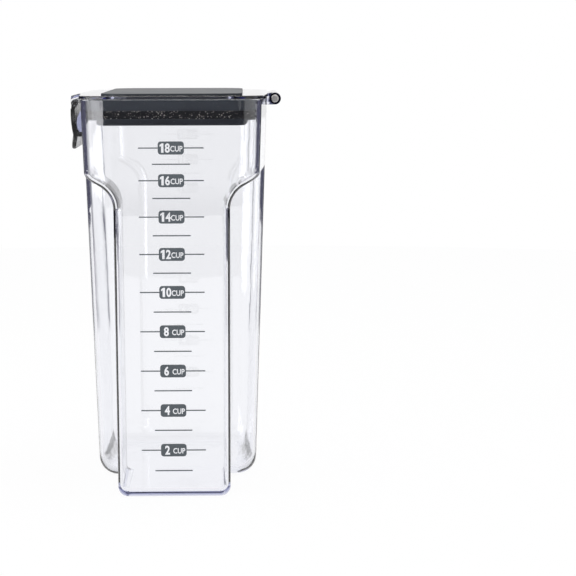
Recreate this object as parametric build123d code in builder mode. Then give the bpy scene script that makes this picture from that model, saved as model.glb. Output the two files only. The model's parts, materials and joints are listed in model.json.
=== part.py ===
from build123d import *
import os
from math import cos, radians, tan

os.makedirs("parts", exist_ok=True)

# Cereal dispenser: a clear storage container with a hand-grip column and a hinged,
# latched, gasketed lid.  Millimetres.  The origin is the centre of the resting face,
# +Z is up, -Y is the front (the grip column), +X the hinge side, -X the latch side.

# ---------------------------------------------------------------- driving dimensions
# Container
body_height = 269.0
rim_width = 129.0             # behind the finger recesses, where it is widest
rim_depth = 195.0
base_width = 111.0
base_depth = 184.0
wall = 2.4
floor_thickness = 4.0
corner_radius = 16.5          # plan radius of the full-height corners, at the rim
corner_base_radius = 14.0     # the same, at the base
front_base_radius = 11.0      # the front corners, if they were carried on down to the base
base_edge_radius = 13.4       # rounding under the rear part
rim_edge_radius = 0.8
front_draw_in = 5.1           # how much narrower the front is, on each side
knee_lead = 4.0               # the sides start to draw in this far ahead of the recess corners
knee_radius = 100.0           # plan radius of that gentle bend

# Grip column and the two finger recesses beside it
column_base_width = 76.3
column_top_width = 77.8
column_length = 64.0          # from the front face back to the recess walls
column_edge_radius = 5.5      # long front edges and shoulder edges
column_foot_radius = 7.0      # lower corners seen from the front
shoulder_height = 219.5       # where the shoulder slope meets the side wall
shoulder_slope = 29.0         # degrees above the horizontal, going outwards
shoulder_radius = 18.0
recess_edge_radius = 14.0     # vertical edges of the rear part beside the recesses

# Lid
rim_gap = 0.3                 # lid frame above the container rim
frame_thickness = 2.0
frame_overhang = 1.0
frame_edge_radius = 0.8
window_width = 87.0
window_depth = 168.0
window_radius = 14.0
panel_margin = 4.0            # panel beyond the window, all round
panel_height = 1.3
panel_edge_radius = 0.6
panel_skirt_length = 9.0
skirt_thickness = 2.0
hood_fall = 1.4               # the hood over the latch slopes down by this
hood_edge = 2.2               # thickness of the hood's outer edge
hood_corner_radius = 3.0
snap_gap = 0.1                # sliding fit between panel skirt, window and plug collar
plug_length = 17.6            # how far the plug reaches below the rim
plug_clearance = 1.2          # plug to container wall, at the plug's lower edge
plug_wall = 4.6
plug_floor = 2.2
plug_foot_inset = 5.7         # the plug is smaller below its shelf, all round
plug_shelf = 0.8              # from the gasket groove down to the shelf
plug_edge_radius = 1.5

# Gasket
gasket_height = 5.4
gasket_above_plug_floor = 4.6
groove_depth = 2.4
groove_gap = 0.05
lip_thickness = 1.3
lip_gap = 0.4                 # lip edge to container wall, uncompressed
lip_taper = 0.4               # how much further in a lip's top edge lies
lip_pitch = 2.0               # top of the lower lip above the gasket's foot

# Lid hinge, axis along Y
hinge_reach = 5.3             # pin axis beyond the container's rim
hinge_drop = 1.1              # pin axis below the container's rim
hinge_length = 80.0
hinge_ear_length = 13.0
knuckle_radius = 4.1
hinge_pin_diameter = 4.0
hinge_head_diameter = 5.2
hinge_head_height = 0.7
hinge_head_rounding = 0.5
hinge_dimple_diameter = 2.4   # shallow dimple in the middle of the pin head
hinge_dimple_depth = 0.4
pin_chamfer = 0.3
running_clearance = 0.05      # radial, between a pin and what turns on it
side_gap = 0.3                # between neighbouring knuckles

# Latch, axis along Y
latch_reach = 4.0             # pin axis beyond the container's rim
latch_drop = 4.1              # pin axis below the container's rim
latch_width = 64.0
latch_ear_length = 4.0
latch_barrel_radius = 2.6
latch_pin_diameter = 2.2
latch_pin_cover = 1.0         # closed end of the front ear's bore
notch_depth = 1.2             # lever cut back below the ears, so that it swings past them
lever_thickness = 2.9
lever_bulge = 0.2             # outward bow of the lever's outer face
lever_waist = 1.2             # how far the outer face draws in at the hook
waist_drop = 25.8             # waist below the rim
tab_drop = 36.0               # tip of the thumb tab below the rim
tab_flare = 0.2               # tip beyond the barrel's outer side
tab_corner_radius = 7.0
tab_edge_radius = 1.1
hook_length = 2.8             # beyond the lever's inner face
hook_thickness = 2.8
catch_height = 14.2
catch_stand_out = 3.7         # catch beyond the side wall at its widest
catch_width = 54.0
catch_heel = 1.0              # set-in of the catch's lower lip, and depth of its top edge
catch_gap = 0.3               # hook below the catch


# ---------------------------------------------------------------- derived places
def half_width(height):
    """Outer half width of the container at a height."""
    return (base_width + (rim_width - base_width) * height / body_height) / 2


def half_depth(height):
    """Outer half depth of the container at a height."""
    return (base_depth + (rim_depth - base_depth) * height / body_height) / 2


def corner_at(height):
    """Plan radius of the container's corners at a height."""
    return corner_base_radius + (corner_radius - corner_base_radius) * height / body_height


def front_corner_at(height):
    """Plan radius of the front corners at a height."""
    return front_base_radius + (corner_radius - front_base_radius) * height / body_height


def knee_at(height):
    """Y of the gentle bend where the sides start to draw in towards the front."""
    return column_length + recess_edge_radius - knee_lead - half_depth(height)


trim_margin = 1.0             # how far a form runs past the plane that trims it
shoulder_rise = tan(radians(shoulder_slope))
frame_bottom = body_height + rim_gap
frame_top = frame_bottom + frame_thickness
frame_half_width = rim_width / 2 + frame_overhang
plug_bottom = body_height - plug_length
hinge_x = rim_width / 2 + hinge_reach
hinge_z = body_height - hinge_drop
knuckle_half = hinge_length / 2 - hinge_ear_length - side_gap
latch_x = -rim_width / 2 - latch_reach
latch_z = body_height - latch_drop
lip_edge = latch_x - latch_barrel_radius
ear_inner_y = latch_width / 2 - latch_ear_length


# ---------------------------------------------------------------- plan forms
def front_plan(height, inset, back=0):
    """Plan of the container as far as y = back: the sides draw in towards the front."""
    side = half_width(height) - inset
    front = side - front_draw_in
    end = half_depth(height) - inset
    knee = knee_at(height)
    with BuildSketch() as outline:
        with BuildLine():
            Polyline(
                (front, -end), (side, knee), (side, back), (-side, back), (-side, knee), (-front, -end),
                close=True,
            )
        make_face()
        fillet(outline.vertices().group_by(Axis.Y)[0], front_corner_at(height) - inset)
        knees = outline.vertices().filter_by(lambda v: abs(v.Y - knee) < knee_lead / 2)
        fillet(knees, knee_radius)
    return outline.sketch


def body_plan(height, inset):
    """Plan of the whole container at a height; a negative inset enlarges it."""
    end = half_depth(height) - inset
    with BuildSketch() as outline:
        add(front_plan(height, inset, end))
        fillet(outline.vertices().group_by(Axis.Y)[-1], corner_at(height) - inset)
    return outline.sketch


def rear_plan(height, inset):
    """Plan of the rear of the container, from the finger recesses back."""
    front = column_length - half_depth(height) + inset
    back = half_depth(height) - inset
    with BuildSketch() as outline:
        with Locations((0, (front + back) / 2)):
            Rectangle(2 * (half_width(height) - inset), back - front)
        fillet(outline.vertices().group_by(Axis.Y)[0], recess_edge_radius - inset)
        fillet(outline.vertices().group_by(Axis.Y)[-1], corner_at(height) - inset)
    return outline.sketch


def column_outline(inset, bottom, top):
    """Front view of the column: narrow below, widening over rounded shoulders."""
    side_draft = (column_top_width - column_base_width) / 2 / shoulder_height
    foot = column_base_width / 2 + side_draft * bottom - inset
    slope_lift = inset / cos(radians(shoulder_slope))
    slope_base = shoulder_height - half_width(shoulder_height) * shoulder_rise + slope_lift
    corner_x = column_top_width / 2 - inset
    corner_z = slope_base + corner_x * shoulder_rise
    far_x = rim_width
    far_z = slope_base + far_x * shoulder_rise
    with BuildSketch(Plane.XZ) as outline:
        with BuildLine():
            right = Polyline((foot, bottom), (corner_x, corner_z), (far_x, far_z), (far_x, top + far_z))
            mirror(right, about=Plane.YZ)
            Line((-foot, bottom), (foot, bottom))
            Line((-far_x, top + far_z), (far_x, top + far_z))
        make_face()
        shoulders = outline.vertices().group_by(Axis.Y)[1]
        fillet(shoulders, shoulder_radius + inset)
        feet = outline.vertices().group_by(Axis.Y)[0]
        fillet(feet, column_foot_radius - inset)
    return outline.sketch


def column_form(inset, bottom, top):
    """The front of the container: grip column below, full width above the shoulders."""
    with BuildPart() as form:
        for height in (bottom - trim_margin, top):
            with BuildSketch(Plane.XY.offset(height)):
                add(front_plan(height, inset))
        loft(ruled=True)
        extrude(column_outline(inset, bottom, top), amount=rim_depth, mode=Mode.INTERSECT)
        cut_faces = form.faces().filter_by(
            lambda f: f.center().Z < shoulder_height and abs(f.normal_at().Y) < 0.1
        )
        edges = ShapeList(edge for face in cut_faces for edge in face.edges())
        rim_edges = ShapeList(
            edge for edge in edges
            if sum(edge.is_same(other) for other in edges) == 1 and edge.center().Y < -1
        )
        fillet(rim_edges, column_edge_radius - inset)
    return form.part


def rear_form(inset, bottom, top):
    """The rear of the container, behind the finger recesses."""
    with BuildPart() as form:
        for height in (bottom, top):
            with BuildSketch(Plane.XY.offset(height)):
                add(rear_plan(height, inset))
        loft(ruled=True)
        fillet(form.edges().group_by(Axis.Z)[0], base_edge_radius - inset)
    return form.part


def side_profile(points, centre=None, radius=0):
    """Face in the XZ plane at y = 0: a polygon, with an optional disc joined to it."""
    with BuildSketch(Plane.XZ) as profile:
        with BuildLine():
            Polyline(*points, close=True)
        make_face()
        if centre:
            with Locations(centre):
                Circle(radius)
    return profile.sketch


def along_y(profile, front, back):
    """Extrude an XZ profile between two Y values."""
    with BuildPart() as piece:
        extrude(profile.moved(Location((0, back, 0))), amount=back - front)
    return piece.part


def round_rod(centre, radius, front, back):
    """Cylinder along Y between two Y values, on an axis given as (x, z)."""
    with BuildSketch(Plane.XZ) as disc:
        with Locations(centre):
            Circle(radius)
    return along_y(disc.sketch, front, back)


# ---------------------------------------------------------------- container
wall_middle = rim_width / 2 - wall / 2
ear_foot_z = hinge_z - knuckle_radius
ear_profile = side_profile(
    (
        (half_width(ear_foot_z) - wall / 2, ear_foot_z),
        (hinge_x, ear_foot_z),
        (hinge_x, hinge_z),
        (hinge_x - knuckle_radius, hinge_z),
        (wall_middle, body_height - rim_edge_radius),
    ),
    (hinge_x, hinge_z),
    knuckle_radius,
)
hook_top = body_height - waist_drop + hook_thickness / 2
catch_bottom = hook_top + catch_gap
catch_top = catch_bottom + catch_height
catch_middle = catch_bottom + catch_height / 2
catch_lip = (catch_heel - half_width(catch_bottom) - catch_stand_out, catch_bottom)
catch_crown = (-half_width(catch_middle) - catch_stand_out, catch_middle)
catch_toe = (-half_width(catch_top) - catch_heel, catch_top)
root_low = (wall / 2 - half_width(catch_bottom), catch_bottom)
root_high = (wall / 2 - half_width(catch_top), catch_top)
with BuildSketch(Plane.XZ) as catch_profile:
    with BuildLine():
        ThreePointArc(catch_lip, catch_crown, catch_toe)
        Polyline(catch_toe, root_high, root_low, catch_lip)
    make_face()

with BuildPart() as container_body:
    add(column_form(0, 0, body_height))
    add(rear_form(0, 0, body_height))
    above_rim = body_height + trim_margin
    add(column_form(wall, floor_thickness, above_rim), mode=Mode.SUBTRACT)
    add(rear_form(wall, floor_thickness, above_rim), mode=Mode.SUBTRACT)
    rim_edges = container_body.faces().sort_by(Axis.Z)[-1].edges()
    fillet(rim_edges, rim_edge_radius)
    for front in (-hinge_length / 2, hinge_length / 2 - hinge_ear_length):
        add(along_y(ear_profile, front, front + hinge_ear_length))
    add(along_y(catch_profile.sketch, -catch_width / 2, catch_width / 2))
    bore = round_rod((hinge_x, hinge_z), hinge_pin_diameter / 2, -hinge_length, hinge_length)
    add(bore, mode=Mode.SUBTRACT)
container_body.part.label = "container_body"
export_step(container_body.part, "parts/container_body.step")

with BuildPart() as hinge_pin:
    add(round_rod((hinge_x, hinge_z), hinge_pin_diameter / 2, -hinge_length / 2, hinge_length / 2))
    chamfer(hinge_pin.edges().sort_by(Axis.Y)[-1], pin_chamfer)
    head_face = -hinge_length / 2 - hinge_head_height
    add(round_rod((hinge_x, hinge_z), hinge_head_diameter / 2, head_face, -hinge_length / 2))
    fillet(hinge_pin.edges().sort_by(Axis.Y)[0], hinge_head_rounding)
    dimple_floor = head_face + hinge_dimple_depth
    dimple = round_rod((hinge_x, hinge_z), hinge_dimple_diameter / 2, head_face, dimple_floor)
    add(dimple, mode=Mode.SUBTRACT)
hinge_pin.part.label = "hinge_pin"
export_step(hinge_pin.part, "parts/hinge_pin.step")


# ---------------------------------------------------------------- lid
def slab(width, depth, radius, bottom, top):
    """Rounded rectangular plate between two heights."""
    with BuildPart() as plate:
        with BuildSketch(Plane.XY.offset(bottom)):
            RectangleRounded(width, depth, radius)
        extrude(amount=top - bottom)
    return plate.part


def ring(width, depth, radius, thickness, bottom, top):
    """Rounded rectangular wall; the width, depth and radius are its outside."""
    with BuildPart() as band:
        add(slab(width, depth, radius, bottom, top))
        hole = slab(width - 2 * thickness, depth - 2 * thickness, radius - thickness, bottom, top)
        add(hole, mode=Mode.SUBTRACT)
    return band.part


def body_slab(height, inset, bottom, top):
    """Upright slab with the container's plan at a height."""
    with BuildPart() as plate:
        with BuildSketch(Plane.XY.offset(bottom)):
            add(body_plan(height, inset))
        extrude(amount=top - bottom)
    return plate.part


def body_band(height, inset, thickness, bottom, top):
    """Upright wall whose outside follows the container's plan at a height."""
    with BuildPart() as band:
        add(body_slab(height, inset, bottom, top))
        add(body_slab(height, inset + thickness, bottom, top), mode=Mode.SUBTRACT)
    return band.part


arm_root = frame_half_width - 2 * frame_thickness
arm_profile = side_profile(
    (
        (arm_root, frame_bottom),
        (arm_root, frame_top),
        (frame_half_width, frame_top),
        (hinge_x, hinge_z + knuckle_radius),
        (hinge_x - knuckle_radius, hinge_z),
        (frame_half_width + rim_gap, frame_bottom),
    ),
    (hinge_x, hinge_z),
    knuckle_radius,
)
hood_top = frame_top - hood_fall
hood_bottom = hood_top - hood_edge
hood_profile = side_profile(
    (
        (-arm_root, frame_bottom),
        (-arm_root, frame_top),
        (-frame_half_width, frame_top),
        (lip_edge, hood_top),
        (lip_edge, hood_bottom),
        (-frame_half_width, frame_bottom),
    ),
)
latch_ear_profile = side_profile(
    (
        (lip_edge, latch_z),
        (lip_edge, hood_top - frame_edge_radius),
        (latch_x + latch_barrel_radius, hood_top - frame_edge_radius),
        (latch_x + latch_barrel_radius, latch_z),
    ),
    (latch_x, latch_z),
    latch_barrel_radius,
)
with BuildPart() as lid_hood:
    add(along_y(hood_profile, -latch_width / 2, latch_width / 2))
    lip_corners = lid_hood.edges().filter_by(Axis.Z).group_by(Axis.X)[0]
    fillet(lip_corners, hood_corner_radius)
    slope = lid_hood.faces().filter_by(lambda f: f.normal_at().X < 0).sort_by(Axis.Z)[-1]
    fillet(slope.edges().sort_by(Axis.X)[:-1], frame_edge_radius)

with BuildPart() as lid_frame:
    add(body_slab(body_height, -frame_overhang, frame_bottom, frame_top))
    fillet(lid_frame.faces().sort_by(Axis.Z)[-1].edges(), frame_edge_radius)
    add(lid_hood.part)
    window = slab(window_width, window_depth, window_radius, frame_bottom, frame_top)
    add(window, mode=Mode.SUBTRACT)
    add(along_y(arm_profile, -knuckle_half, knuckle_half))
    for front in (-latch_width / 2, ear_inner_y):
        add(along_y(latch_ear_profile, front, front + latch_ear_length))
    knuckle_bore = hinge_pin_diameter / 2 + running_clearance
    add(round_rod((hinge_x, hinge_z), knuckle_bore, -hinge_length, hinge_length), mode=Mode.SUBTRACT)
    blind_end = latch_pin_cover - latch_width / 2
    latch_bore = round_rod((latch_x, latch_z), latch_pin_diameter / 2, blind_end, latch_width)
    add(latch_bore, mode=Mode.SUBTRACT)
lid_frame.part.label = "lid_frame"
export_step(lid_frame.part, "parts/lid_frame.step")

skirt_width = window_width - 2 * snap_gap
skirt_depth = window_depth - 2 * snap_gap
skirt_radius = window_radius - snap_gap
with BuildPart() as lid_panel:
    panel_top = frame_top + panel_height
    panel_width = window_width + 2 * panel_margin
    panel_depth = window_depth + 2 * panel_margin
    add(slab(panel_width, panel_depth, window_radius + panel_margin, frame_top, panel_top))
    fillet(lid_panel.faces().sort_by(Axis.Z)[-1].edges(), panel_edge_radius)
    skirt_bottom = frame_top - panel_skirt_length
    add(ring(skirt_width, skirt_depth, skirt_radius, skirt_thickness, skirt_bottom, frame_top))
lid_panel.part.label = "lid_panel"
export_step(lid_panel.part, "parts/lid_panel.step")

plug_inset = wall + plug_clearance
foot_inset = plug_inset + plug_foot_inset
gasket_bottom = plug_bottom + gasket_above_plug_floor
gasket_top = gasket_bottom + gasket_height
shelf_bottom = gasket_bottom - plug_shelf
collar_floor = plug_bottom + plug_floor
with BuildPart() as lid_plug:
    add(body_slab(plug_bottom, foot_inset, plug_bottom, shelf_bottom))
    fillet(lid_plug.faces().sort_by(Axis.Z)[0].edges(), plug_edge_radius)
    add(body_slab(plug_bottom, plug_inset, shelf_bottom, frame_bottom))
    foot_hollow = body_slab(plug_bottom, foot_inset + plug_wall, collar_floor, frame_bottom)
    add(foot_hollow, mode=Mode.SUBTRACT)
    shelf_floor = shelf_bottom + plug_floor
    hollow = body_slab(plug_bottom, plug_inset + plug_wall, shelf_floor, frame_bottom)
    add(hollow, mode=Mode.SUBTRACT)
    collar_inset = skirt_thickness + snap_gap
    collar_width = skirt_width - 2 * collar_inset
    collar_depth = skirt_depth - 2 * collar_inset
    collar_radius = skirt_radius - collar_inset
    add(ring(collar_width, collar_depth, collar_radius, skirt_thickness, collar_floor, frame_bottom))
    groove = body_band(plug_bottom, plug_inset, groove_depth, gasket_bottom, gasket_top)
    add(groove, mode=Mode.SUBTRACT)
lid_plug.part.label = "lid_plug"
export_step(lid_plug.part, "parts/lid_plug.step")


def gasket_lip(top):
    """One sealing lip: a thin band with a thick root, whose outer edge follows the wall."""
    bottom = top - lip_thickness
    root_in = groove_depth / 2
    with BuildPart() as lip:
        for height, gap in ((bottom, lip_gap), (top, lip_gap + lip_taper)):
            with BuildSketch(Plane.XY.offset(height)):
                add(body_plan(bottom, wall + gap))
        loft(ruled=True)
        add(body_slab(plug_bottom, plug_inset + root_in, bottom, top), mode=Mode.SUBTRACT)
    return lip.part


with BuildPart() as lid_gasket:
    seal_bottom = gasket_bottom + groove_gap
    seal_top = gasket_top - groove_gap
    add(body_band(plug_bottom, plug_inset, groove_depth - groove_gap, seal_bottom, seal_top))
    for lip_top in (seal_top, seal_bottom + lip_pitch):
        add(gasket_lip(lip_top))
lid_gasket.part.label = "lid_gasket"
export_step(lid_gasket.part, "parts/lid_gasket.step")

# ---------------------------------------------------------------- latch
with BuildPart() as latch_pin:
    add(round_rod((latch_x, latch_z), latch_pin_diameter / 2, blind_end, latch_width / 2))
    chamfer(latch_pin.edges().sort_by(Axis.Y)[-1], pin_chamfer)
latch_pin.part.label = "latch_pin"
export_step(latch_pin.part, "parts/latch_pin.step")

outer_x = latch_x - latch_barrel_radius
inner_x = outer_x + lever_thickness
waist_z = body_height - waist_drop
tip_z = body_height - tab_drop
bow_z = (latch_z + waist_z) / 2
hook_bottom = hook_top - hook_thickness
waist_out = (outer_x + lever_waist, waist_z)
tip_out = (outer_x - tab_flare, tip_z)
tip_in = (tip_out[0] + lever_thickness, tip_z)
heel_x = inner_x + lever_waist
hook_tip_x = heel_x + hook_length
with BuildSketch(Plane.XZ) as lever_profile:
    with BuildLine():
        ThreePointArc((outer_x, latch_z), (outer_x - lever_bulge, bow_z), waist_out)
        Polyline(
            waist_out, tip_out, tip_in, (heel_x, hook_bottom),
            (hook_tip_x, hook_bottom), (hook_tip_x, hook_top), (heel_x, hook_top),
        )
        ThreePointArc((heel_x, hook_top), (inner_x - lever_bulge, bow_z), (inner_x, latch_z))
        Line((inner_x, latch_z), (outer_x, latch_z))
    make_face()
    with Locations((latch_x, latch_z)):
        Circle(latch_barrel_radius)

with BuildPart() as latch_lever:
    add(along_y(lever_profile.sketch, -latch_width / 2, latch_width / 2))
    tab_ends = latch_lever.faces().sort_by(Axis.Z)[0].edges().filter_by(Axis.X)
    fillet(tab_ends, tab_corner_radius)
    fillet(latch_lever.faces().sort_by(Axis.Z)[0].edges().filter_by(Axis.Y), tab_edge_radius)
    notch_height = 2 * latch_barrel_radius + notch_depth
    for front in (-latch_width / 2, ear_inner_y - side_gap):
        with Locations((latch_x, front + (latch_ear_length + side_gap) / 2, latch_z - notch_depth / 2)):
            Box(4 * latch_barrel_radius, latch_ear_length + side_gap, notch_height, mode=Mode.SUBTRACT)
    pin_bore = latch_pin_diameter / 2 + running_clearance
    add(round_rod((latch_x, latch_z), pin_bore, -latch_width, latch_width), mode=Mode.SUBTRACT)
latch_lever.part.label = "latch_lever"
export_step(latch_lever.part, "parts/latch_lever.step")
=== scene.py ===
"""Looks of a clear cereal dispenser: moulded walls, slate lid, seal, latch, scale and studio."""

import json
import math

import bmesh
import bpy
import numpy as np
from bpy.props import FloatProperty, FloatVectorProperty, IntProperty, PointerProperty
from mathutils import Matrix, Vector
from mathutils.bvhtree import BVHTree


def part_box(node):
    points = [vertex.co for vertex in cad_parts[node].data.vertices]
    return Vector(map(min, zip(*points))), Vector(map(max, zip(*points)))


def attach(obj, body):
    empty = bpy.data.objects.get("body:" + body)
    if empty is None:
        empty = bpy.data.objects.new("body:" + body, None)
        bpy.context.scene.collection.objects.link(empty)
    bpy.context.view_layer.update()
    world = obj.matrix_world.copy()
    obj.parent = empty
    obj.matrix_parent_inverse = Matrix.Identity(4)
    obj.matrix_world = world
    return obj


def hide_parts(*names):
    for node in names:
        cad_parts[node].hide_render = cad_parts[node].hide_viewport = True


bl_info = {
    "name": "Cereal Dispenser Looks",
    "version": (1, 0, 0),
    "blender": (4, 5, 0),
    "location": "View3D > Sidebar > Cereal Dispenser",
    "description": "Finishes, measuring scale and studio for a clear cereal dispenser",
    "category": "Object",
}

# Colours of the studio as seen through glass and in reflections, where 1 is white.
WHITE = (1.0, 1.0, 1.0)
DUSK = (0.09, 0.09, 0.135)
SHADE = (0.05, 0.05, 0.07)
WINDOW = (4.0, 4.0, 4.1)

# Those colours by the direction round the object, as (degrees, colour): 0 is the back, -90 the
# latch side, 90 the hinge side and 180 the front.
SCREENS = (
    (-84, WHITE), (-72, DUSK), (-16, DUSK), (-11, WHITE), (11, WHITE), (16, DUSK), (72, DUSK), (84, WHITE),
)
BEHIND_GLASS = (
    (-180, WHITE), (-173, WHITE), (-168, WINDOW), (-110, WINDOW), (-100, WHITE), *SCREENS, (180, WHITE),
)
# What a clear wall's inner face reflects from just below the horizon.
BEYOND_FLOOR = (
    (-180, SHADE), (-173, SHADE), (-168, WINDOW), (-110, WINDOW), (-100, WHITE), *SCREENS,
    (130, WHITE), (150, SHADE), (180, SHADE),
)
MIRRORED = (
    (-180, SHADE), (-173, SHADE), (-168, WINDOW), (-100, WINDOW), *SCREENS,
    (140, WHITE), (152, SHADE), (180, SHADE),
)
ON_FLOOR = (
    (-180, WHITE), (-35, WHITE), (-30, DUSK), (-18, DUSK), (-12, WHITE), (12, WHITE), (18, DUSK),
    (30, DUSK), (35, WHITE), (180, WHITE),
)

# Where one of those pictures fades into the next: z of the direction just below the horizon, z of
# the direction above which all is white, and metres from the middle of the floor.
HORIZON = (-0.045, -0.025)
OVERHEAD = (0.2, 0.35)
FAR_FLOOR = (0.65, 0.80)

# Name, place, aim, size in metres and power in watts.
LAMPS = (
    ("left lamp", (-1.1, -0.9, 0.9), (0.0, 0.0, 0.15), 0.9, 6.0),
    ("top lamp", (0.2, -0.1, 1.5), (0.0, 0.0, 0.2), 1.0, 6.0),
)

# Evening out the shading of curved faces.  The first four are cosines of angles between normals.
SAME_FACE = math.cos(math.radians(8))  # closer normals at one point are one normal
SAME_SWEEP = math.cos(math.radians(28))  # neighbours with closer normals lie on one face
FLAT = math.cos(math.radians(0.4))  # a face this flat keeps its normals
LARGEST_CHANGE = math.cos(math.radians(3.5))  # a larger one is not made
REACH = 0.004  # how far away a normal still counts, in metres
SPACINGS = 1.3  # the same, in spacings of the mesh
STIFFNESS = 0.01  # holds the fit's slopes down
PASSES = 2

# Measuring the inside, in metres.
GRID = 0.004  # spacing of the lines
STAND_OFF = 0.01  # how far in front of the container they start

# Number plate: the outline of the numeral one at unit height, and then shares.
ONE = ((0.16, 0.0), (0.42, 0.0), (0.42, 1.0), (0.23, 1.0), (0.0, 0.83), (0.0, 0.62), (0.16, 0.72))
NARROWED = 0.82  # of the letters' own width
MARGIN = 0.07  # of the plate's width
SINGLE_DIGIT_INSET = 0.09  # of the plate's width
GAP_AFTER_ONE = 0.14  # of the digits' height
WORD_DROP = 0.08  # of the digits' height
WORD_MARGIN = 0.8  # of the margin
WORD_WEIGHT = 0.6  # of the digits' weight

# Points whose coordinates agree to this many decimals, in metres, are one point.
DECIMALS = 7
SAME_POINT = 10**-DECIMALS

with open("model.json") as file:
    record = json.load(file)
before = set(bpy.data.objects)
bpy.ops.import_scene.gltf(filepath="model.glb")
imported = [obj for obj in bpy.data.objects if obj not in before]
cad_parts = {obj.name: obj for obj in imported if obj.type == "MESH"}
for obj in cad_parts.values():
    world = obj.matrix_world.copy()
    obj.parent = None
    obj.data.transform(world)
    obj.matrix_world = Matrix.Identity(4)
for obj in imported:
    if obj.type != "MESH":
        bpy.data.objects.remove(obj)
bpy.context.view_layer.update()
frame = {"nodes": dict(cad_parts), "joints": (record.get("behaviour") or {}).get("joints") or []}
nodes = frame["nodes"]
joints = {joint["name"]: joint for joint in frame["joints"]}


# ---------------------------------------------------------------- settings
def number_setting(name, description, default, **rest):
    """A number, or another kind of single value that the rest names."""
    return FloatProperty(name=name, description=description, default=default, **rest)


def length_setting(name, description, default):
    """A length in metres."""
    return number_setting(name, description, default, unit="LENGTH")


def share_setting(name, description, default):
    """A share from 0 to 1."""
    return number_setting(name, description, default, subtype="FACTOR")


def angle_setting(name, description, degrees):
    """An angle, given in degrees."""
    return number_setting(name, description, math.radians(degrees), subtype="ANGLE")


def colour_setting(name, description, default):
    """A linear colour."""
    return FloatVectorProperty(name=name, description=description, subtype="COLOR", default=default)


class ClearPlasticSettings(bpy.types.PropertyGroup):
    """Finish of the container and of the lid's frame"""

    tint: colour_setting("Tint in depth", "Colour that light keeps in the plastic", (0.33, 0.36, 0.62))
    depth: number_setting("Tint strength", "How strongly the tint gathers per metre", 24.0, min=0.0)
    ior: number_setting("Index of refraction", "Of the moulded plastic", 1.56)
    roughness: share_setting("Roughness", "Of an untouched polished wall", 0.012)
    scuff: share_setting("Scuffing", "How much handling has dulled the wall", 0.06)
    # Painted shade: the hinge ears' dark blue-grey stands in for the dark refraction that the thick clear
    # ears show; the start and fade below place it.
    hinge_colour: colour_setting("Hinge colour", "Smoky colour of the thick hinge ears", (0.13, 0.14, 0.22))
    hinge_start: length_setting(
        "Hinge start", "Where the smoky hinge ears begin, across the object",
        joints["lid_hinge"]["pos_m"][0] - 0.0044,
    )
    hinge_fade: length_setting("Hinge fade", "Over which the smoky colour sets in", 0.0012)
    relief: length_setting("Relief", "Depth of the slow waves in a wall", 0.00006)


class SlatePlasticSettings(bpy.types.PropertyGroup):
    """Finish of the lid's panel and plug"""

    colour: colour_setting("Colour", "Moulded-in slate colour", (0.029, 0.034, 0.041))
    roughness: share_setting("Roughness", "Satin of the moulded face", 0.36)
    smudge: share_setting("Smudges", "How much smudges dull the face", 0.05)
    scuff: share_setting("Scuffs", "How much scuffs polish the face", 0.08)
    grain: share_setting("Grain", "How much the mould grain dulls the face", 0.08)
    relief: length_setting("Relief", "Depth of the mould grain", 0.00003)


class SealSettings(bpy.types.PropertyGroup):
    """Finish of the silicone seal"""

    colour: colour_setting("Colour", "Black silicone", (0.006, 0.006, 0.006))
    dust: colour_setting("Dust", "Colour of the palest specks", (0.34, 0.32, 0.29))
    speckle: length_setting("Speckle size", "Distance between the specks", 0.0013)
    speck_radius: share_setting("Speck radius", "As a share of that distance", 0.36)
    bare: share_setting("Bare share", "Share of the places that have no speck", 0.42)


class LatchSettings(bpy.types.PropertyGroup):
    """Finish of the latch lever"""

    colour: colour_setting("Colour", "Black moulded plastic", (0.009, 0.0095, 0.009))
    roughness: share_setting("Roughness", "Gloss of the lever", 0.16)
    wear: share_setting("Wear", "How much handling has dulled the lever", 0.16)


class ScaleSettings(bpy.types.PropertyGroup):
    """The printed measuring scale on the front of the grip column"""

    ink: colour_setting("Ink", "Grey printing ink", (0.065, 0.078, 0.09))
    cup: number_setting("Cup", "Volume of one cup, in litres", 0.2393)
    cups: IntProperty(name="Highest mark", description="Cups at the highest mark", default=18)
    plate_width: length_setting("Plate width", "Of a number plate", 0.0173)
    plate_height: length_setting("Plate height", "Of a number plate", 0.0087)
    plate_radius: length_setting("Plate corner", "Corner radius", 0.0020)
    number_height: length_setting("Number height", "Of the digits", 0.0062)
    word_height: length_setting("Word height", "Of the word CUP", 0.0038)
    long_line: length_setting("Long line", "Whole width of a numbered mark", 0.0433)
    short_line: length_setting("Short line", "Width of a mark between", 0.0252)
    weight: number_setting("Weight", "How far the strokes of the digits are thickened", 0.03)
    line: length_setting("Line", "Thickness of a printed line", 0.0008)
    film: length_setting("Film", "Thickness of the ink", 0.00006)


class StudioSettings(bpy.types.PropertyGroup):
    """Camera, floor and light"""

    eye: FloatVectorProperty(
        name="Camera place", description="Where the camera stands", subtype="XYZ", unit="LENGTH",
        default=(0.0488, -1.3925, 0.3038),
    )
    turn: angle_setting("Turn", "Camera turned to the right", 1.258)
    tilt: angle_setting("Tilt", "Camera tilted down", 7.053)
    roll: angle_setting("Roll", "Camera rolled", -0.123)
    lens: number_setting("Lens", "Focal length in millimetres", 122.3)
    floor: colour_setting("Floor", "Pale floor", (0.86, 0.86, 0.87))
    floor_radius: length_setting("Floor radius", "Of the round floor", 1.6)
    floor_share: share_setting("Floor as background", "How far the floor shows as plain white", 0.94)
    daylight: number_setting("Daylight", "Level of the even light", 0.85)


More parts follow.
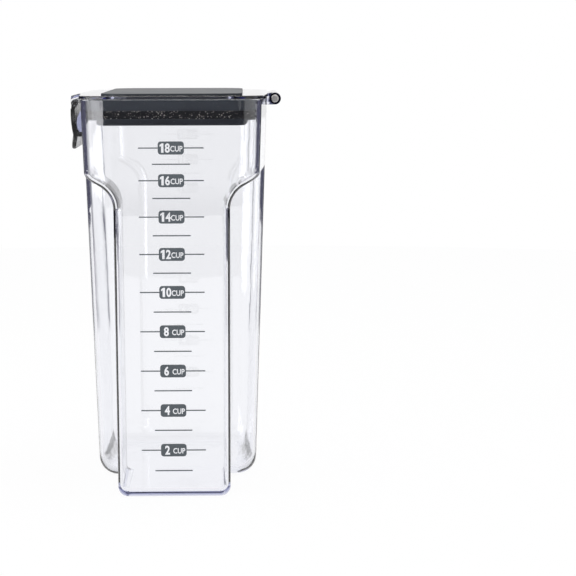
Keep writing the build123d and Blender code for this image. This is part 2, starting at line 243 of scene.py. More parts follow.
# ---------------------------------------------------------------- shader groups
def group_nodes(name, inputs, outputs):
    """New shader node group with float sockets; returns its tree and both end nodes."""
    tree = bpy.data.node_groups.new(name, "ShaderNodeTree")
    for label, value in inputs.items():
        socket = tree.interface.new_socket(label, in_out="INPUT", socket_type="NodeSocketFloat")
        socket.default_value = value
    for label in outputs:
        tree.interface.new_socket(label, in_out="OUTPUT", socket_type="NodeSocketFloat")
    return tree, tree.nodes.new("NodeGroupInput"), tree.nodes.new("NodeGroupOutput")


def add(tree, kind, **values):
    """New node; keywords set its properties."""
    node = tree.nodes.new(kind)
    for key, value in values.items():
        setattr(node, key, value)
    return node


def feed(tree, node, **values):
    """Links sockets to a node's inputs, or sets plain values there; _ in a name stands for a space."""
    for label, value in values.items():
        socket = node.inputs[label.replace("_", " ")]
        if isinstance(value, bpy.types.NodeSocket):
            tree.links.new(value, socket)
        elif socket.type == "RGBA":
            socket.default_value = (*value, 1.0)
        else:
            socket.default_value = value
    return node


def object_place(tree):
    """Object coordinates."""
    return add(tree, "ShaderNodeTexCoord").outputs["Object"]


def split_xyz(tree, vector):
    """Node whose outputs are the vector's X, Y and Z."""
    return feed(tree, add(tree, "ShaderNodeSeparateXYZ"), Vector=vector)


def math_node(tree, operation, first, second=None, third=None, clamp=False):
    """Math node on sockets or plain numbers; returns its output."""
    node = add(tree, "ShaderNodeMath", operation=operation, use_clamp=clamp)
    for socket, value in zip(node.inputs, (first, second, third)):
        if isinstance(value, (int, float)):
            socket.default_value = value
        elif value is not None:
            tree.links.new(value, socket)
    return node.outputs["Value"]


def noise(tree, vector, scale, detail=3.0, roughness=0.5):
    """Noise texture on a vector; scale is a socket or a number."""
    node = add(tree, "ShaderNodeTexNoise")
    return feed(tree, node, Vector=vector, Scale=scale, Detail=detail, Roughness=roughness).outputs["Fac"]


def smooth_step(tree, value, low, high):
    """0 to 1 as a value goes from low to high."""
    step = add(tree, "ShaderNodeMapRange", interpolation_type="SMOOTHSTEP")
    return feed(tree, step, Value=value, From_Min=low, From_Max=high).outputs["Result"]


def mixed(tree, share, first, second):
    """Mix of two colours or sockets; share 1 gives the second."""
    mix = add(tree, "ShaderNodeMix", data_type="RGBA")
    return feed(tree, mix, Factor=share, A=first, B=second).outputs["Result"]


def drifting(tree, mask, colour, low, high):
    """A colour at strengths from low to high as the mask goes from 0 to 1."""
    return mixed(tree, mask, [c * low for c in colour], [c * high for c in colour])


def ranged(tree, value, low, high):
    """Maps a 0-1 mask onto low-high."""
    return math_node(tree, "MULTIPLY_ADD", value, high - low, low)


def bump(tree, height, distance, strength):
    """Bump node; distance is the relief in metres."""
    node = feed(tree, add(tree, "ShaderNodeBump"), Height=height, Distance=distance, Strength=strength)
    return node.outputs["Normal"]


def handling_group():
    """Soft smudges and hair-fine scuffs that handling leaves; both change roughness only."""
    tree, given, result = group_nodes(
        "handling marks", {"Smudge Size": 30.0, "Scuff Size": 900.0}, ("Smudges", "Scuffs")
    )
    place = object_place(tree)
    cloud = noise(tree, place, given.outputs["Smudge Size"], 4.0, 0.55)
    stretch = add(tree, "ShaderNodeMapping")
    feed(tree, stretch, Vector=place, Rotation=(0.3, 0.5, 0.2), Scale=(1.0, 1.0, 0.06))
    hair = noise(tree, stretch.outputs["Vector"], given.outputs["Scuff Size"], 2.0, 0.5)
    feed(
        tree, result,
        Smudges=smooth_step(tree, cloud, 0.48, 0.72), Scuffs=smooth_step(tree, hair, 0.68, 0.78),
    )
    return tree


def grain_group():
    """Fine spark-eroded mould grain and the slow waviness of a moulded face."""
    tree, given, result = group_nodes(
        "moulded grain", {"Grain Size": 2600.0, "Wave Size": 22.0}, ("Grain", "Waves")
    )
    place = object_place(tree)
    feed(
        tree, result,
        Grain=noise(tree, place, given.outputs["Grain Size"], 2.0, 0.6),
        Waves=noise(tree, place, given.outputs["Wave Size"], 1.0, 0.4),
    )
    return tree


def shared_groups():
    """The effect groups, built once."""
    wanted = {"handling": ("handling marks", handling_group), "grain": ("moulded grain", grain_group)}
    return {key: bpy.data.node_groups.get(name) or build() for key, (name, build) in wanted.items()}


def effect(tree, group, **values):
    """A shader group placed in a material with its own values."""
    return feed(tree, add(tree, "ShaderNodeGroup", node_tree=group), **values)


# ---------------------------------------------------------------- materials
def blank_material(name):
    """Material with a Principled shader; returns material, tree, shader and output."""
    material = bpy.data.materials.new(name)
    material.use_nodes = True
    tree = material.node_tree
    tree.nodes.clear()
    output = add(tree, "ShaderNodeOutputMaterial")
    shader = add(tree, "ShaderNodeBsdfPrincipled")
    tree.links.new(shader.outputs["BSDF"], output.inputs["Surface"])
    return material, tree, shader, output


def blended_surface(tree, output, share, first, second):
    """Surface that goes from the first shader to the second as the share goes from 0 to 1."""
    mix = add(tree, "ShaderNodeMixShader")
    for source, socket in zip((share, first, second), mix.inputs):
        tree.links.new(source, socket)
    tree.links.new(mix.outputs["Shader"], output.inputs["Surface"])


def clear_plastic(settings, groups):
    """Clear moulded plastic that lets lamps through, with a violet-grey tint in its depth and painted shade
    on the hinge ears.
    """
    material, tree, shader, output = blank_material("clear plastic")
    across = split_xyz(tree, object_place(tree)).outputs["X"]
    # Painted shade: across the hinge ears the base colour goes dark blue-grey, in place of their dark
    # refraction.
    hinge = smooth_step(tree, across, settings.hinge_start, settings.hinge_start + settings.hinge_fade)
    marks = effect(tree, groups["handling"], Smudge_Size=26.0, Scuff_Size=700.0)
    faint = math_node(tree, "MULTIPLY", marks.outputs["Smudges"], 0.35)
    worn = math_node(tree, "MAXIMUM", marks.outputs["Scuffs"], faint)
    grain = effect(tree, groups["grain"], Grain_Size=900.0, Wave_Size=16.0)
    feed(
        tree, shader, Transmission_Weight=1.0, IOR=settings.ior,
        Base_Color=mixed(tree, hinge, (0.995, 0.997, 1.0), settings.hinge_colour),
        Roughness=ranged(tree, worn, settings.roughness, settings.roughness + settings.scuff),
        Normal=bump(tree, grain.outputs["Waves"], settings.relief, 0.25),
    )
    tint = feed(tree, add(tree, "ShaderNodeVolumeAbsorption"), Color=settings.tint, Density=settings.depth)
    feed(tree, output, Volume=tint.outputs["Volume"])
    through = feed(tree, add(tree, "ShaderNodeBsdfTransparent"), Color=(0.96, 0.96, 0.97))
    shadow = add(tree, "ShaderNodeLightPath").outputs["Is Shadow Ray"]
    blended_surface(tree, output, shadow, shader.outputs["BSDF"], through.outputs["BSDF"])
    return material


def slate_plastic(settings, groups):
    """Satin slate plastic with mould grain, slow colour drift and a few scuffs."""
    material, tree, shader, _ = blank_material("slate plastic")
    grain = effect(tree, groups["grain"], Grain_Size=2600.0, Wave_Size=30.0)
    marks = effect(tree, groups["handling"], Smudge_Size=38.0, Scuff_Size=1100.0)
    dulled = math_node(tree, "MULTIPLY_ADD", marks.outputs["Smudges"], settings.smudge, settings.roughness)
    dulled = math_node(tree, "MULTIPLY_ADD", marks.outputs["Scuffs"], -settings.scuff, dulled)
    feed(
        tree, shader, IOR=1.52, Specular_IOR_Level=0.2,
        Base_Color=drifting(tree, grain.outputs["Waves"], settings.colour, 0.88, 1.14),
        Roughness=math_node(tree, "MULTIPLY_ADD", grain.outputs["Grain"], settings.grain, dulled),
        Normal=bump(tree, grain.outputs["Grain"], settings.relief, 0.5),
    )
    return material


def seal_rubber(settings):
    """Black silicone with pale specks of dust and a slightly uneven face."""
    material, tree, shader, _ = blank_material("seal rubber")
    place = object_place(tree)
    cells = add(tree, "ShaderNodeTexVoronoi", feature="F1")
    feed(tree, cells, Vector=place, Scale=1.0 / settings.speckle)
    near = math_node(tree, "LESS_THAN", cells.outputs["Distance"], settings.speck_radius)
    pick = feed(tree, add(tree, "ShaderNodeSeparateColor"), Color=cells.outputs["Color"])
    chosen = math_node(tree, "GREATER_THAN", pick.outputs["Red"], settings.bare)
    specks = math_node(tree, "MULTIPLY", near, chosen)
    level = math_node(tree, "MULTIPLY", specks, pick.outputs["Green"])
    uneven = noise(tree, place, 700.0, 3.0, 0.6)
    feed(
        tree, shader, IOR=1.41, Specular_IOR_Level=0.2,
        Base_Color=mixed(tree, level, settings.colour, settings.dust),
        Roughness=ranged(tree, uneven, 0.38, 0.62), Normal=bump(tree, uneven, 0.0001, 0.6),
    )
    return material


def black_plastic(settings, groups):
    """Glossy black plastic, dulled where fingers press it."""
    material, tree, shader, _ = blank_material("black plastic")
    grain = effect(tree, groups["grain"], Grain_Size=1800.0, Wave_Size=60.0)
    marks = effect(tree, groups["handling"], Smudge_Size=120.0, Scuff_Size=1500.0)
    worn = math_node(tree, "MAXIMUM", marks.outputs["Smudges"], marks.outputs["Scuffs"])
    feed(
        tree, shader, IOR=1.53,
        Base_Color=drifting(tree, marks.outputs["Smudges"], settings.colour, 1.0, 1.9),
        Roughness=ranged(tree, worn, settings.roughness, settings.roughness + settings.wear),
        Normal=bump(tree, grain.outputs["Waves"], 0.00004, 0.4),
    )
    return material


def pin_steel():
    """Drawn and turned steel: fine rings round the pin, a little dirt between them."""
    material, tree, shader, _ = blank_material("pin steel")
    rings = feed(tree, add(tree, "ShaderNodeMapping"), Vector=object_place(tree), Scale=(0.08, 1.0, 0.08))
    turned = noise(tree, rings.outputs["Vector"], 5200.0, 3.0, 0.6)
    feed(
        tree, shader, Metallic=1.0,
        Base_Color=mixed(tree, turned, (0.44, 0.43, 0.41), (0.72, 0.71, 0.69)),
        Roughness=ranged(tree, turned, 0.22, 0.40), Normal=bump(tree, turned, 0.00002, 0.6),
    )
    return material


def scale_ink(settings):
    """Pad-printed ink: flat grey with a faint screen of pinholes."""
    material, tree, shader, _ = blank_material("scale ink")
    place = object_place(tree)
    pinholes = noise(tree, place, 3800.0, 2.0, 0.5)
    cover = noise(tree, place, 260.0, 3.0, 0.5)
    mottle = math_node(tree, "MULTIPLY_ADD", pinholes, 0.5, math_node(tree, "MULTIPLY", cover, 0.5))
    feed(
        tree, shader, Base_Color=drifting(tree, mottle, settings.ink, 0.85, 1.18),
        Roughness=ranged(tree, pinholes, 0.42, 0.6),
    )
    return material


def give(names, material):
    """Gives CAD nodes their material."""
    for name in names:
        dress(nodes[name].data, material)


def dress(mesh, material):
    """Makes a material a mesh's only one."""
    mesh.materials.clear()
    mesh.materials.append(material)


# ---------------------------------------------------------------- meshes
def placed(name, data):
    """New object in the scene that shows the data."""
    thing = bpy.data.objects.new(name, data)
    bpy.context.scene.collection.objects.link(thing)
    return thing


def made_by(maker):
    """Final mesh of a helper object, which is then removed."""
    bpy.context.view_layer.update()
    mesh = bpy.data.meshes.new_from_object(maker.evaluated_get(bpy.context.evaluated_depsgraph_get()))
    maker.modifiers.clear()
    bpy.data.objects.remove(maker)
    return mesh


def merged(mesh):
    """Mesh with its doubled points joined; corners keep their attributes."""
    work = bmesh.new()
    work.from_mesh(mesh)
    bmesh.ops.remove_doubles(work, verts=work.verts, dist=SAME_POINT)
    work.to_mesh(mesh)
    work.free()
    return mesh


def dot(first, second):
    """Dot product of two tuples."""
    return sum(a * b for a, b in zip(first, second))


def shading_knots(mesh):
    """Where a mesh's shading is given: places, normals, each corner's knot, neighbours and flat knots."""
    given = [tuple(corner.vector) for corner in mesh.corner_normals]
    flat = [
        all(polygon.normal.dot(given[corner]) > FLAT for corner in polygon.loop_indices)
        for polygon in mesh.polygons
    ]
    places, normals, of_corner, found, pinned = [], [], {}, {}, set()
    for index in sorted(range(len(flat)), key=lambda i: not flat[i]):
        for corner in mesh.polygons[index].loop_indices:
            place = tuple(round(c, DECIMALS) for c in mesh.vertices[mesh.loops[corner].vertex_index].co)
            for knot in found.setdefault(place, []):
                if dot(normals[knot], given[corner]) > SAME_FACE:
                    break
            else:
                knot = len(places)
                places.append(place)
                normals.append(given[corner])
                found[place].append(knot)
            of_corner[corner] = knot
            if flat[index]:
                pinned.add(knot)
    near = [set() for _ in places]
    for polygon in mesh.polygons:
        ring = [of_corner[i] for i in polygon.loop_indices]
        for a, b in zip(ring, ring[1:] + ring[:1]):
            if dot(normals[a], normals[b]) > SAME_SWEEP:
                near[a].add(b)
                near[b].add(a)
    return np.array(places), np.array(normals), of_corner, near, pinned


def steadied(places, normals, near, pinned):
    """Normals fitted to those around them, so that a curved face shades without ripples."""
    result = normals.copy()
    for knot, ring in enumerate(near):
        if not ring or knot in pinned:
            continue
        first = list(ring)
        if (normals[first] @ normals[knot]).min() > FLAT:
            continue
        group = np.array(sorted({knot, *ring, *(other for step in ring for other in near[step])}))
        group = group[normals[group] @ normals[knot] > SAME_SWEEP]
        offset = places[group] - places[knot]
        distance = np.linalg.norm(offset, axis=1)
        reach = min(REACH, SPACINGS * np.linalg.norm(places[first] - places[knot], axis=1).mean())
        weight = np.exp(-((distance / reach) ** 2))
        rows = np.hstack([np.ones((len(group), 1)), offset / reach])
        system = rows.T @ (rows * weight[:, None]) + np.diag([0.0, STIFFNESS, STIFFNESS, STIFFNESS])
        fitted = np.linalg.solve(system, rows.T @ (normals[group] * weight[:, None]))[0]
        fitted /= np.linalg.norm(fitted)
        if fitted @ normals[knot] > LARGEST_CHANGE:
            result[knot] = fitted
    return result


def evenly_shaded(node, name):
    """Merged copy of a CAD node with the shading of its curved faces evened out."""
    mesh = nodes[node].data.copy()
    mesh.name = name
    places, normals, of_corner, near, pinned = shading_knots(mesh)
    for _ in range(PASSES):
        normals = steadied(places, normals, near, pinned)
    shading = mesh.attributes.new("shading", "FLOAT_VECTOR", "CORNER")
    for corner, knot in of_corner.items():
        shading.data[corner].vector = normals[knot]
    merged(mesh)
    mesh.normals_split_custom_set([tuple(corner.vector) for corner in mesh.attributes["shading"].data])
    mesh.attributes.remove(mesh.attributes["shading"])
    return placed(name, mesh)


# ---------------------------------------------------------------- measuring scale
def wall_tree():
    """Search tree of the container's faces."""
    mesh = nodes["container_body"].data
    points = [v.co for v in mesh.vertices]
    return BVHTree.FromPolygons(points, [tuple(p.vertices) for p in mesh.polygons])


def crossings(tree, start, direction):
    """Distances at which a line meets the container's faces."""
    found, point, gone = [], Vector(start), 0.0
    step = 1e-5
    while True:
        hit, _, _, distance = tree.ray_cast(point, direction)
        if hit is None:
            return found
        gone += distance
        if not found or gone - found[-1] > 10 * step:
            found.append(gone)
        point, gone = hit + direction * step, gone + step


def fill_heights(tree, volumes):
    """Heights at which the container holds the given volumes, in cubic metres.

    The inside is measured along lines from the front.  A line inside it meets four faces, two of
    each wall.  One half of the container is measured and counted twice.
    """
    low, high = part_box("container_body")
    heights, held, wanted = [], 0.0, sorted(volumes)
    z = low.z + GRID / 2
    while wanted and z < high.z:
        area, x = 0.0, GRID / 2
        while x < high.x:
            cuts = crossings(tree, (x, low.y - STAND_OFF, z), Vector((0, 1, 0)))
            if len(cuts) == 4:
                area += 2 * GRID * (cuts[2] - cuts[1])
            x += GRID
        while wanted and held + area * GRID >= wanted[0]:
            heights.append(z - GRID / 2 + (wanted[0] - held) / area)
            wanted.pop(0)
        held += area * GRID
        z += GRID
    return heights


def rounded_outline(width, height, radius, steps=6):
    """Points of a rounded rectangle, anticlockwise, centred on the origin."""
    points = []
    for quarter, (sx, sy) in enumerate(((1, 1), (-1, 1), (-1, -1), (1, -1))):
        for i in range(steps + 1):
            turn = math.pi / 2 * (quarter + i / steps)
            points.append((
                sx * (width / 2 - radius) + radius * math.cos(turn),
                sy * (height / 2 - radius) + radius * math.sin(turn),
            ))
    return points


def flagged_one(height, left):
    """Outline of a stout numeral one with a slanted flag; returns it and its right end."""
    outline = [(left + x * height, (y - 0.5) * height) for x, y in ONE]
    return outline, max(x for x, _ in outline)


def lettering(text, height, left, middle, weight):
    """Text as a flat mesh of the given height, with its right end; weight thickens the strokes."""
    curve = bpy.data.curves.new("lettering", "FONT")
    curve.body = text
    curve.resolution_u = 4
    curve.offset = weight
    shape = made_by(placed("lettering", curve))
    low = Vector((min(v.co.x for v in shape.vertices), min(v.co.y for v in shape.vertices)))
    high = Vector((max(v.co.x for v in shape.vertices), max(v.co.y for v in shape.vertices)))
    scale = height / (high.y - low.y)
    shape.transform(
        Matrix.Translation((left, middle, 0))
        @ Matrix.Diagonal((scale * NARROWED, scale, 1, 1))
        @ Matrix.Translation((-low.x, -(low.y + high.y) / 2, 0))
    )
    return shape, left + (high.x - low.x) * scale * NARROWED


def flat_piece(name, outlines):
    """Mesh between nested closed outlines, filled so that inner ones are holes."""
    curve = bpy.data.curves.new(name, "CURVE")
    curve.dimensions = "2D"
    curve.fill_mode = "BOTH"
    for outline in outlines:
        spline = curve.splines.new("POLY")
        spline.points.add(len(outline) - 1)
        for point, (x, y) in zip(spline.points, outline):
            point.co = (x, y, 0, 1)
        spline.use_cyclic_u = True
    return made_by(placed(name, curve))


def rim_loops(mesh):
    """Boundary loops of a flat mesh, as lists of (x, y)."""
    count = {}
    for polygon in mesh.polygons:
        for key in polygon.edge_keys:
            count[key] = count.get(key, 0) + 1
    follow = {}
    for a, b in (key for key, uses in count.items() if uses == 1):
        follow.setdefault(a, []).append(b)
        follow.setdefault(b, []).append(a)
    loops = []
    while follow:
        first = next(iter(follow))
        loop, here = [], first
        while here in follow:
            ahead = follow.pop(here)
            loop.append(tuple(mesh.vertices[here].co.xy))
            here = next((n for n in ahead if n in follow), first)
        loops.append(loop)
    return loops


def plate_mesh(cups, settings):
    """Number plate with its number and the word CUP left open."""
    width, height = settings.plate_width, settings.number_height
    margin = width * MARGIN
    outlines = [rounded_outline(width, settings.plate_height, settings.plate_radius)]
    digits, start = str(cups), -width / 2 + margin
    if len(digits) == 1:
        start += width * SINGLE_DIGIT_INSET
    if digits[0] == "1":
        one, end = flagged_one(height, start)
        outlines.append(one)
        digits, start = digits[1:], end + height * GAP_AFTER_ONE
    number, _ = lettering(digits, height, start, 0.0, settings.weight)
    word, end = lettering(
        "CUP", settings.word_height, 0.0, -height * WORD_DROP, settings.weight * WORD_WEIGHT
    )
    word.transform(Matrix.Translation((width / 2 - margin * WORD_MARGIN - end, 0, 0)))
    outlines += rim_loops(merged(number)) + rim_loops(merged(word))
    return flat_piece("plate", outlines)


def mark_lines_tree():
    """Geometry nodes that draw a line either side of each numbered point and a short one at the others."""
    tree = bpy.data.node_groups.new("scale lines", "GeometryNodeTree")
    tree.interface.new_socket("Geometry", in_out="INPUT", socket_type="NodeSocketGeometry")
    for label in ("Long Line", "Short Line", "Plate Width", "Thickness"):
        socket = tree.interface.new_socket(label, in_out="INPUT", socket_type="NodeSocketFloat")
        socket.subtype = "DISTANCE"
    tree.interface.new_socket("Ink", in_out="INPUT", socket_type="NodeSocketMaterial")
    tree.interface.new_socket("Geometry", in_out="OUTPUT", socket_type="NodeSocketGeometry")
    given, result = add(tree, "NodeGroupInput"), add(tree, "NodeGroupOutput")

    def stroke(length):
        grid = add(tree, "GeometryNodeMeshGrid")
        feed(tree, grid, Vertices_X=2, Vertices_Y=2, Size_X=length, Size_Y=given.outputs["Thickness"])
        return grid.outputs["Mesh"]

    def attribute(name, kind):
        node = add(tree, "GeometryNodeInputNamedAttribute", data_type=kind)
        return feed(tree, node, Name=name).outputs["Attribute"]

    plate = given.outputs["Plate Width"]
    gap = math_node(tree, "SUBTRACT", given.outputs["Long Line"], plate)
    side = math_node(tree, "MULTIPLY", gap, 0.5)
    middle = math_node(tree, "MULTIPLY_ADD", gap, 0.25, math_node(tree, "MULTIPLY", plate, 0.5))
    pair = add(tree, "GeometryNodeJoinGeometry")
    for sign in (-1, 1):
        offset = feed(tree, add(tree, "ShaderNodeCombineXYZ"), X=math_node(tree, "MULTIPLY", middle, sign))
        moved = add(tree, "GeometryNodeTransform")
        feed(tree, moved, Geometry=stroke(side), Translation=offset.outputs["Vector"])
        feed(tree, pair, Geometry=moved.outputs["Geometry"])
    numbered = attribute("numbered", "BOOLEAN")
    lean = attribute("lean", "FLOAT_VECTOR")
    plain = feed(tree, add(tree, "FunctionNodeBooleanMath", operation="NOT"), Boolean=numbered)
    both = add(tree, "GeometryNodeJoinGeometry")
    for shape, wanted in (
        (pair.outputs["Geometry"], numbered),
        (stroke(given.outputs["Short Line"]), plain.outputs["Boolean"]),
    ):
        marks = add(tree, "GeometryNodeInstanceOnPoints")
        feed(tree, marks, Points=given.outputs["Geometry"], Instance=shape, Selection=wanted, Rotation=lean)
        feed(tree, both, Geometry=marks.outputs["Instances"])
    real = feed(tree, add(tree, "GeometryNodeRealizeInstances"), Geometry=both.outputs["Geometry"])
    inked = add(tree, "GeometryNodeSetMaterial")
    feed(tree, inked, Geometry=real.outputs["Geometry"], Material=given.outputs["Ink"])
    feed(tree, result, Geometry=inked.outputs["Geometry"])
    return tree


def mark_lines(places, settings, ink):
    """Mesh of the printed lines at the given places: (matrix, numbered) for each mark."""
    points = bpy.data.meshes.new("mark places")
    points.from_pydata([place.translation for place, _ in places], [], [])
    points.attributes.new("numbered", "BOOLEAN", "POINT")
    points.attributes.new("lean", "FLOAT_VECTOR", "POINT")
    for i, (place, has_plate) in enumerate(places):
        points.attributes["numbered"].data[i].value = has_plate
        points.attributes["lean"].data[i].vector = place.to_euler()
    maker = placed("mark places", points)
    modifier = maker.modifiers.new("scale lines", "NODES")
    tree = mark_lines_tree()
    modifier.node_group = tree
    sizes = {
        "Long Line": settings.long_line, "Short Line": settings.short_line,
        "Plate Width": settings.plate_width, "Thickness": settings.line, "Ink": ink,
    }
    for socket in tree.interface.items_tree:
        if socket.in_out == "INPUT" and socket.name in sizes:
            modifier[socket.identifier] = sizes[socket.name]
    return made_by(maker)


def mark_place(tree, z, film):
    """Matrix that lays a flat shape on the front wall at a height, upright and facing out."""
    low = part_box("container_body")[0]
    hit, normal, _, _ = tree.ray_cast(Vector((0.0, low.y - STAND_OFF, z)), Vector((0, 1, 0)))
    across = Vector((1, 0, 0))
    turn = Matrix((across, normal.cross(across), normal)).transposed().to_4x4()
    return Matrix.Translation(hit + normal * film) @ turn


def printed(places, settings, ink):
    """The whole scale as one thin film: a plate at each numbered mark, and the lines."""
    work = bmesh.new()
    for cups, (place, numbered) in enumerate(places, start=1):
        if numbered:
            plate = plate_mesh(cups, settings)
            plate.transform(place)
            work.from_mesh(plate)
    bmesh.ops.remove_doubles(work, verts=work.verts, dist=SAME_POINT)
    for face in work.faces:
        if face.normal.y > 0:
            face.normal_flip()
    work.from_mesh(mark_lines(places, settings, ink))
    mesh = bpy.data.meshes.new("measuring_scale")
    work.to_mesh(mesh)
    work.free()
    dress(mesh, ink)
    for polygon in mesh.polygons:
        polygon.material_index = 0
    return placed("measuring_scale", mesh)


# ---------------------------------------------------------------- operators
class DISPENSER_OT_clear_walls(bpy.types.Operator):
    """Gives the container and the lid's frame their clear moulded plastic"""

    bl_idname = "dispenser.clear_walls"
    bl_label = "Clear Walls"

    def execute(self, context):
        settings = context.scene.dispenser_clear
        material = clear_plastic(settings, shared_groups())
        give(("container_body", "lid_frame"), material)
        walls = evenly_shaded("container_body", "container_walls")
        dress(walls.data, material)
        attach(walls, "container")
        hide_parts("container_body")
        return {"FINISHED"}


class DISPENSER_OT_slate_lid(bpy.types.Operator):
    """Gives the lid's panel and plug their satin slate plastic"""

    bl_idname = "dispenser.slate_lid"
    bl_label = "Slate Lid"

    def execute(self, context):
        settings = context.scene.dispenser_slate
        give(("lid_panel", "lid_plug"), slate_plastic(settings, shared_groups()))
        return {"FINISHED"}


class DISPENSER_OT_seal(bpy.types.Operator):
    """Gives the gasket its speckled silicone"""

    bl_idname = "dispenser.seal"
    bl_label = "Seal"

    def execute(self, context):
        give(("lid_gasket",), seal_rubber(context.scene.dispenser_seal))
        return {"FINISHED"}


class DISPENSER_OT_latch(bpy.types.Operator):
    """Gives the latch lever its glossy black plastic"""

    bl_idname = "dispenser.latch"
    bl_label = "Latch"

    def execute(self, context):
        give(("latch_lever",), black_plastic(context.scene.dispenser_latch, shared_groups()))
        return {"FINISHED"}


class DISPENSER_OT_pins(bpy.types.Operator):
    """Gives both pins their turned steel"""

    bl_idname = "dispenser.pins"
    bl_label = "Pins"

    def execute(self, context):
        give(("hinge_pin", "latch_pin"), pin_steel())
        return {"FINISHED"}


class DISPENSER_OT_measuring_scale(bpy.types.Operator):
    """Prints the measuring scale where the container holds each number of cups"""

    bl_idname = "dispenser.measuring_scale"
    bl_label = "Measuring Scale"

    def execute(self, context):
        settings = context.scene.dispenser_scale
        tree = wall_tree()
        cups = range(1, settings.cups + 1)
        heights = fill_heights(tree, [n * settings.cup / 1000 for n in cups])
        if len(heights) < settings.cups:
            raise RuntimeError("the container is too small for the highest mark")
        places = [(mark_place(tree, z, settings.film), n % 2 == 0) for n, z in zip(cups, heights)]
        piece = printed(places, settings, scale_ink(settings))
        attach(piece, "container")
        return {"FINISHED"}


class DISPENSER_OT_studio(bpy.types.Operator):
    """Sets the floor, the soft light and the camera"""

    bl_idname = "dispenser.studio"
    bl_label = "Studio"

    def execute(self, context):
        settings = context.scene.dispenser_studio
        add_camera(settings)
        add_floor(settings)
        add_light(settings)
        context.scene.view_settings.view_transform = "Standard"
        return {"FINISHED"}


# ---------------------------------------------------------------- studio
def add_camera(settings):
    """Long lens a little above the lid."""
    data = bpy.data.cameras.new("camera")
    data.lens = settings.lens
    data.sensor_width = 36.0
    camera = placed("camera", data)
    camera.location = settings.eye
    turn = Matrix.Rotation(-settings.turn, 4, "Z")
    tilt = Matrix.Rotation(math.pi / 2 - settings.tilt, 4, "X")
    roll = Matrix.Rotation(settings.roll, 4, "Z")
    camera.rotation_euler = (turn @ tilt @ roll).to_euler()
    bpy.context.scene.camera = camera


def seen_as_background(tree, rays):
    """1 for rays that show the pale background, 0 for light that falls on things."""
    direct = math_node(tree, "ADD", rays["Is Camera Ray"], rays["Is Transmission Ray"])
    return math_node(tree, "ADD", direct, rays["Is Glossy Ray"], clamp=True)


def round_about(tree, place, stops):
    """Colour that changes with the direction round the object, given in degrees."""
    split = split_xyz(tree, place).outputs
    angle = math_node(tree, "ARCTAN2", split["X"], split["Y"])
    ramp = add(tree, "ShaderNodeValToRGB")
    ramp.color_ramp.interpolation = "EASE"
    elements = ramp.color_ramp.elements
    while len(elements) < len(stops):
        elements.new(0.5)
    for element, (degrees, colour) in zip(elements, stops):
        element.position = degrees / 360 + 0.5
        element.color = (*colour, 1.0)
    turns = math_node(tree, "MULTIPLY_ADD", angle, 0.5 / math.pi, 0.5)
    return feed(tree, ramp, Fac=turns).outputs["Color"]


def add_floor(settings):
    """Round pale floor that shows as the background and keeps a faint shadow."""
    work = bmesh.new()
    bmesh.ops.create_circle(work, cap_ends=True, segments=96, radius=settings.floor_radius)
    mesh = bpy.data.meshes.new("floor")
    work.to_mesh(mesh)
    work.free()
    floor = placed("floor", mesh)
    material, tree, shader, output = blank_material("pale floor")
    place = object_place(tree)
    feed(
        tree, shader, Roughness=0.7, Specular_IOR_Level=0.2,
        Base_Color=drifting(tree, noise(tree, place, 3.0), settings.floor, 1.0, 1.02),
    )
    rays = add(tree, "ShaderNodeLightPath").outputs
    away = feed(tree, add(tree, "ShaderNodeVectorMath", operation="LENGTH"), Vector=place)
    far = smooth_step(tree, away.outputs["Value"], *FAR_FLOOR)
    indirect = math_node(tree, "SUBTRACT", 1.0, rays["Is Camera Ray"])
    screened = math_node(tree, "MULTIPLY", far, indirect)
    picture = mixed(tree, screened, WHITE, round_about(tree, place, ON_FLOOR))
    backdrop = feed(tree, add(tree, "ShaderNodeEmission"), Color=picture)
    seen = math_node(tree, "MULTIPLY", seen_as_background(tree, rays), settings.floor_share)
    blended_surface(tree, output, seen, shader.outputs["BSDF"], backdrop.outputs["Emission"])
    mesh.materials.append(material)


def add_light(settings):
    """Pale surround that lights things evenly, with screens that only reflections and glass show."""
    world = bpy.data.worlds.new("studio")
    bpy.context.scene.world = world
    world.use_nodes = True
    tree = world.node_tree
    tree.nodes.clear()
    output = add(tree, "ShaderNodeOutputWorld")
    rays = add(tree, "ShaderNodeLightPath").outputs
    direction = add(tree, "ShaderNodeTexCoord").outputs["Generated"]
    height = split_xyz(tree, direction).outputs["Z"]
    overhead = smooth_step(tree, height, *OVERHEAD)
    beyond, behind, mirrored = (
        round_about(tree, direction, stops) for stops in (BEYOND_FLOOR, BEHIND_GLASS, MIRRORED)
    )
    unreflected = math_node(tree, "LESS_THAN", rays["Glossy Depth"], 0.5)
    plain = math_node(tree, "MAXIMUM", smooth_step(tree, height, *HORIZON), unreflected)
    through = mixed(tree, overhead, mixed(tree, plain, beyond, behind), WHITE)
    mirrored = mixed(tree, overhead, mirrored, WHITE)
    seen = mixed(tree, rays["Is Glossy Ray"], (settings.daylight,) * 3, mirrored)
    seen = mixed(tree, rays["Is Transmission Ray"], seen, through)
    seen = mixed(tree, rays["Is Camera Ray"], seen, WHITE)
    back = feed(tree, add(tree, "ShaderNodeBackground"), Color=seen)
    feed(tree, output, Surface=back.outputs["Background"])
    for lamp in LAMPS:
        soft_lamp(*lamp)


def soft_lamp(name, place, aim, size, power):
    """Square area lamp pointed at a place."""
    data = bpy.data.lights.new(name, "AREA")
    data.size = size
    data.energy = power
    lamp = placed(name, data)
    lamp.location = place
    lamp.rotation_euler = (Vector(aim) - Vector(place)).to_track_quat("-Z", "Y").to_euler()


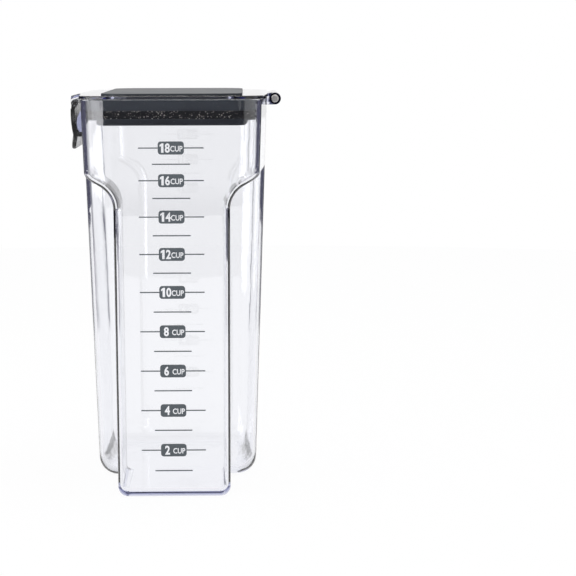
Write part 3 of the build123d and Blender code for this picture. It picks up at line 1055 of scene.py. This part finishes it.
# ---------------------------------------------------------------- panel and registration
SETTINGS = (
    ("dispenser_clear", ClearPlasticSettings, "dispenser.clear_walls"),
    ("dispenser_slate", SlatePlasticSettings, "dispenser.slate_lid"),
    ("dispenser_seal", SealSettings, "dispenser.seal"),
    ("dispenser_latch", LatchSettings, "dispenser.latch"),
    ("dispenser_scale", ScaleSettings, "dispenser.measuring_scale"),
    ("dispenser_studio", StudioSettings, "dispenser.studio"),
)
OPERATORS = (
    DISPENSER_OT_clear_walls,
    DISPENSER_OT_slate_lid,
    DISPENSER_OT_seal,
    DISPENSER_OT_latch,
    DISPENSER_OT_pins,
    DISPENSER_OT_measuring_scale,
    DISPENSER_OT_studio,
)


class DISPENSER_PT_looks(bpy.types.Panel):
    """Lists the dispenser's pieces with their settings"""

    bl_idname = "DISPENSER_PT_looks"
    bl_label = "Cereal Dispenser"
    bl_space_type = "VIEW_3D"
    bl_region_type = "UI"
    bl_category = "Cereal Dispenser"

    def draw(self, context):
        for operator in OPERATORS:
            box = self.layout.box()
            box.operator(operator.bl_idname)
            for attribute, group, name in SETTINGS:
                if name == operator.bl_idname:
                    values = getattr(context.scene, attribute)
                    for key in group.__annotations__:
                        box.prop(values, key)


def register():
    for attribute, group, _ in SETTINGS:
        bpy.utils.register_class(group)
        setattr(bpy.types.Scene, attribute, PointerProperty(type=group))
    for operator in OPERATORS:
        bpy.utils.register_class(operator)
    bpy.utils.register_class(DISPENSER_PT_looks)


def unregister():
    bpy.utils.unregister_class(DISPENSER_PT_looks)
    for operator in reversed(OPERATORS):
        bpy.utils.unregister_class(operator)
    for attribute, group, _ in reversed(SETTINGS):
        delattr(bpy.types.Scene, attribute)
        bpy.utils.unregister_class(group)


def main():
    """Registers the add-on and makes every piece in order."""
    register()
    bpy.ops.dispenser.studio()
    bpy.ops.dispenser.clear_walls()
    bpy.ops.dispenser.slate_lid()
    bpy.ops.dispenser.seal()
    bpy.ops.dispenser.latch()
    bpy.ops.dispenser.pins()
    bpy.ops.dispenser.measuring_scale()


if __name__ == "__main__":
    main()
